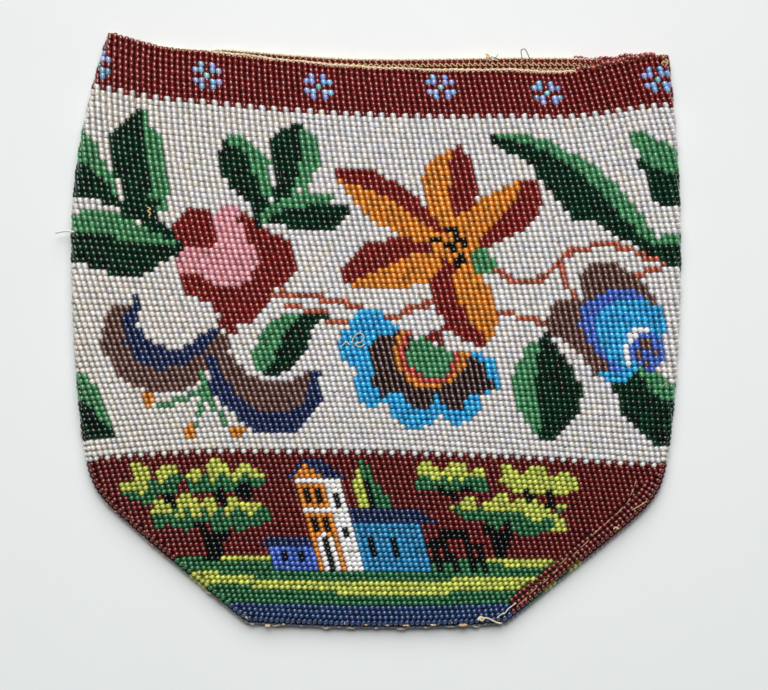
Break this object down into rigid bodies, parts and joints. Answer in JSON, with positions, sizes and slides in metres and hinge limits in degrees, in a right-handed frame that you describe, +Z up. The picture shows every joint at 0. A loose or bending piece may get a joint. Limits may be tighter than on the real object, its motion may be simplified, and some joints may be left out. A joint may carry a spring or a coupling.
{
  "type": "bead-knit reticule",
  "caption": "Small flat evening bag knitted in the round from beaded thread, with an open worked mouth, slanted lower corners and a sewn base, lying empty on its back.",
  "frame": {"origin": "on the table, under the middle of the bag as it lies on its back", "axes": "+X across the bag to the right as the front is seen, +Y from the base to the mouth, +Z up from the table through the front"},
  "size_m": [0.1828, 0.181, 0.0092],
  "materials": {
    "bead_knit": "rows of small glossy glass beads on knitted thread: pearly white ground, garnet red bands, flowers and leaves in green, orange, blue, pink and brown",
    "silk_thread": "tan twisted silk thread, slightly fuzzy"
  },
  "bodies": {
    "root": {"bag_body": "bead_knit", "mouth_edging": "silk_thread", "base_seam_thread": "silk_thread", "side_seam_thread": "silk_thread"}
  },
  "joints": []
}
